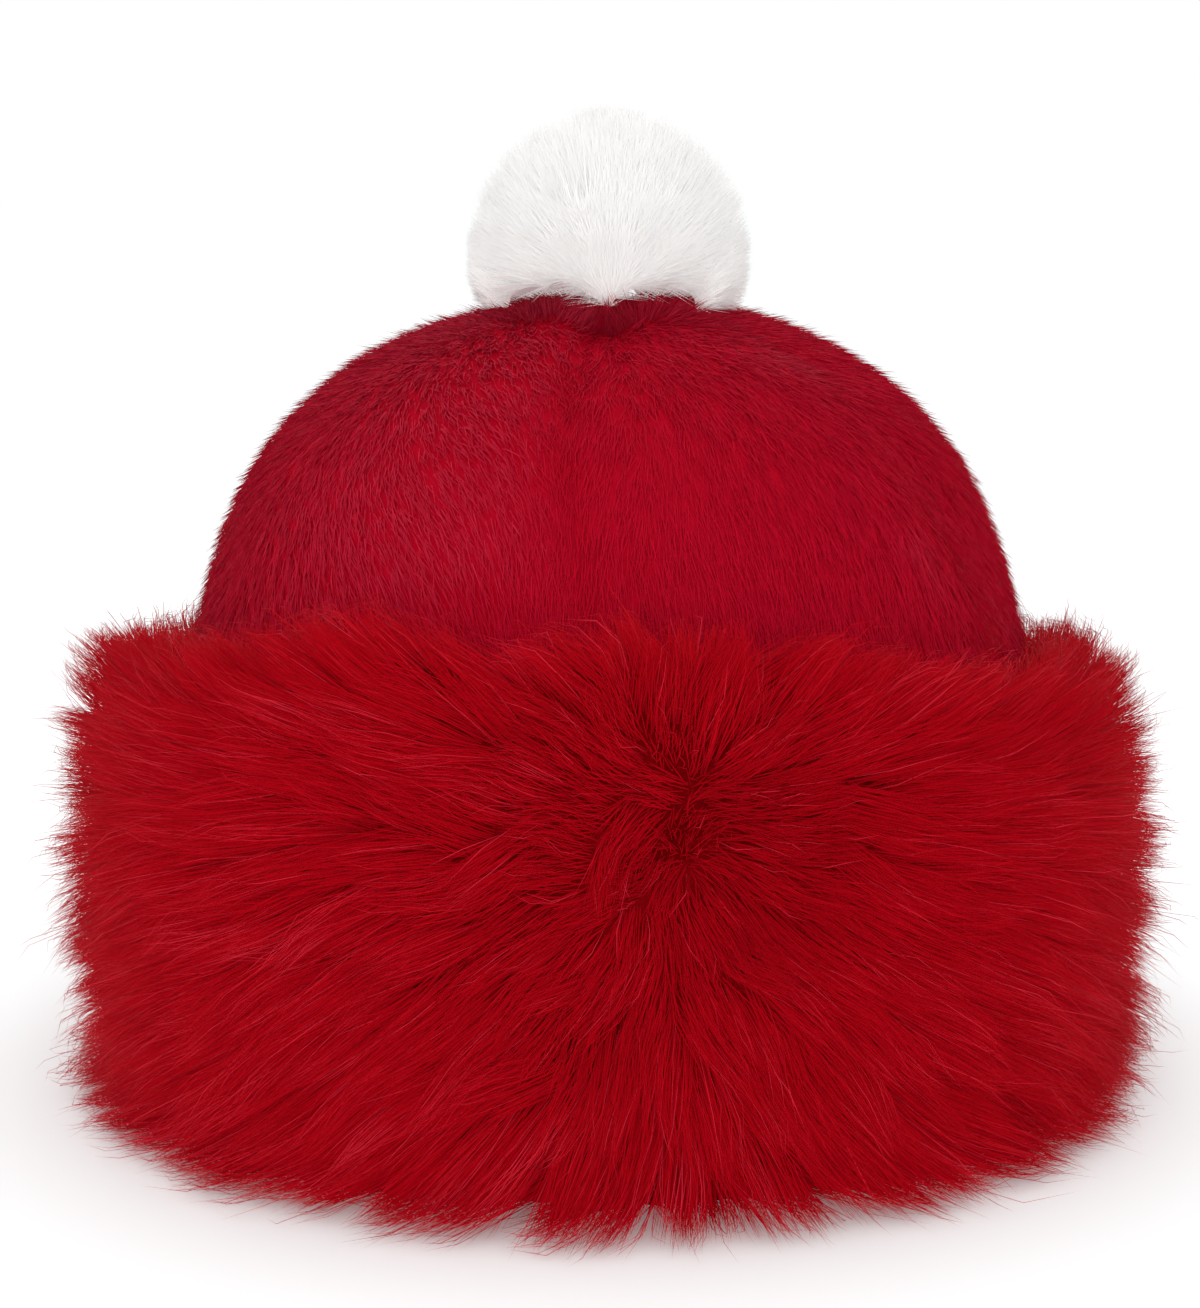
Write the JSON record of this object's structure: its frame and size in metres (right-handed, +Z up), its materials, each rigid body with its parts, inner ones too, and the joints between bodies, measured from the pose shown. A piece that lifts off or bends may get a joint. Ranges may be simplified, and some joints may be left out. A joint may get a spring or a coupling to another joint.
{
  "type": "santa hat of dyed fur",
  "caption": "Round red fur hat with a deep turned-up cuff of long red fur and a white fur pompom on top.",
  "frame": {"origin": "on the surface that the hat stands on, under the middle of its box", "axes": "+Z up, -Y to the front of the hat, +X to the right when it is seen from the front"},
  "size_m": [0.2689, 0.2829, 0.236],
  "materials": {
    "crown_fur": "short sheared fur, dyed crimson",
    "cuff_fur": "long fur in pointed locks, dyed red",
    "pompom_fur": "soft dense fur, white"
  },
  "bodies": {
    "root": {"crown": "crown_fur", "fur_cuff": "cuff_fur", "pompom": "pompom_fur"}
  },
  "joints": []
}
